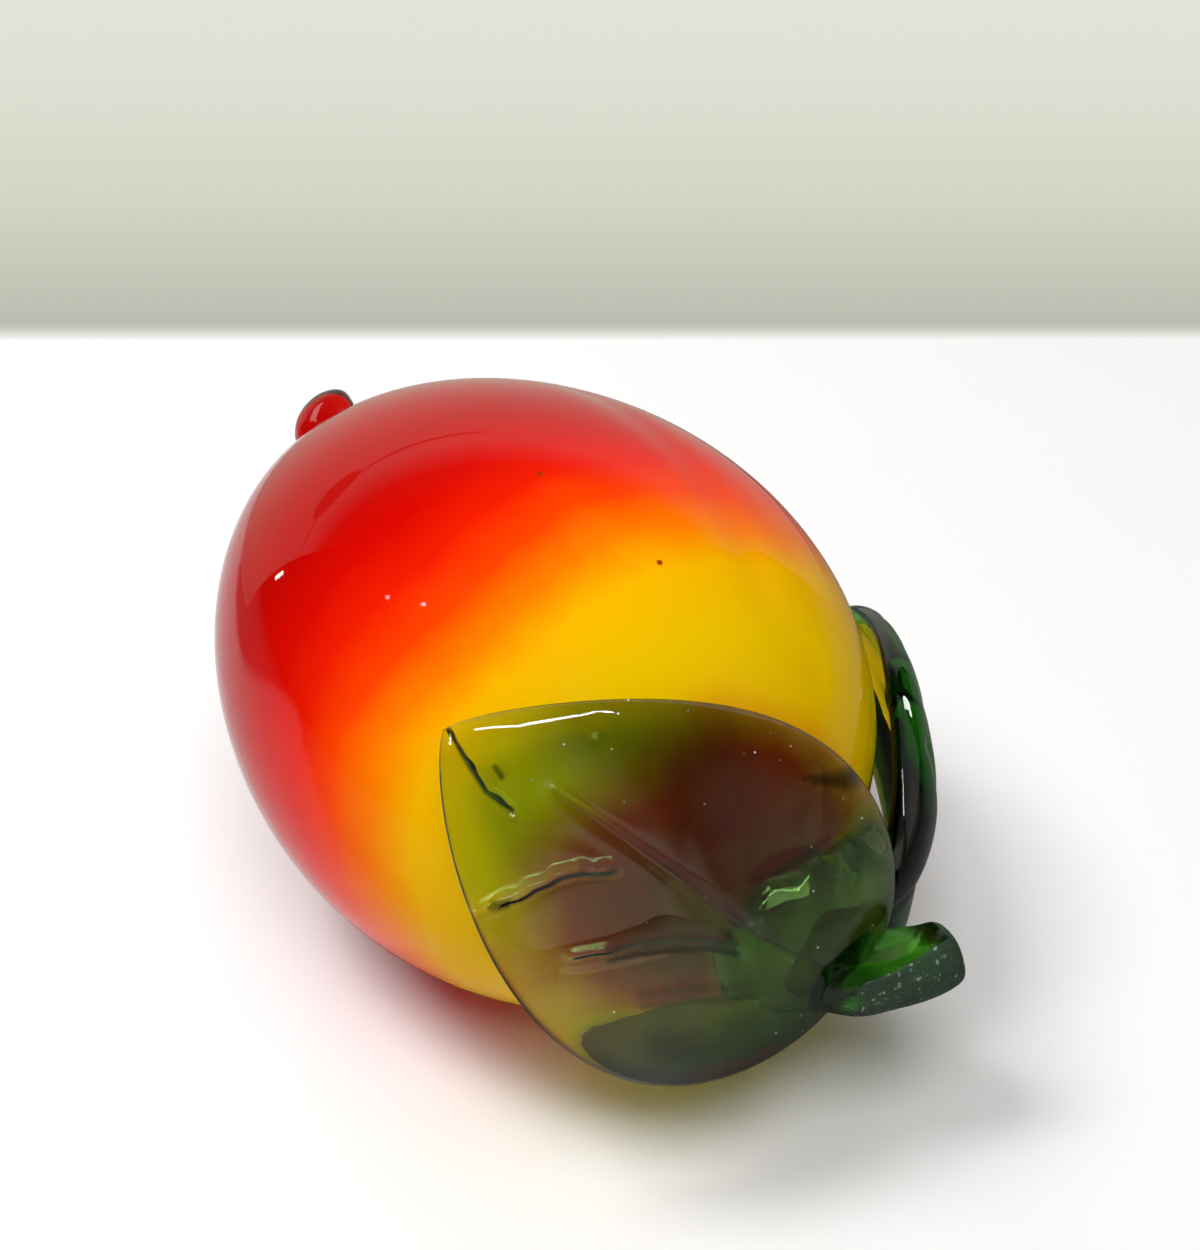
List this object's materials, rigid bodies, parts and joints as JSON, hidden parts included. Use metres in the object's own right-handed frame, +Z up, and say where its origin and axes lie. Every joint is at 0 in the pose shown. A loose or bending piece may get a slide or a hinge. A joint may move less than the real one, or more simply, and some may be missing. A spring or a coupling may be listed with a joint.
{
  "type": "art glass mango",
  "caption": "Blown and cased glass mango ornament lying on its side, with a drawn blossom tip, a green neck seal, a grooved stem and pressed leaves.",
  "frame": {"origin": "middle of the bounding box, on the table the mango lies on", "axes": "+Z up from the table, +X along the blowing axis towards the stem end, +Y towards the rear leaf"},
  "size_m": [0.1318, 0.0958, 0.0804],
  "materials": {
    "opal_yellow_glass": "opal, smooth",
    "red_yellow_glass": "blended red, orange and yellow, smooth",
    "clear_glass": "clear, fire polished",
    "red_glass": "transparent red, fire polished",
    "seal_green_glass": "transparent green, smooth",
    "stem_green_glass": "transparent green, partly frosted",
    "front_leaf_glass": "transparent green, pressed veins",
    "rear_leaf_glass": "transparent green, pressed veins"
  },
  "bodies": {
    "root": {"inner_bubble": "opal_yellow_glass", "color_overlay": "red_yellow_glass", "clear_casing": "clear_glass", "blossom_tip": "red_glass", "neck_seal": "seal_green_glass", "stem": "stem_green_glass", "front_leaf": "front_leaf_glass", "rear_leaf": "rear_leaf_glass"}
  },
  "joints": []
}
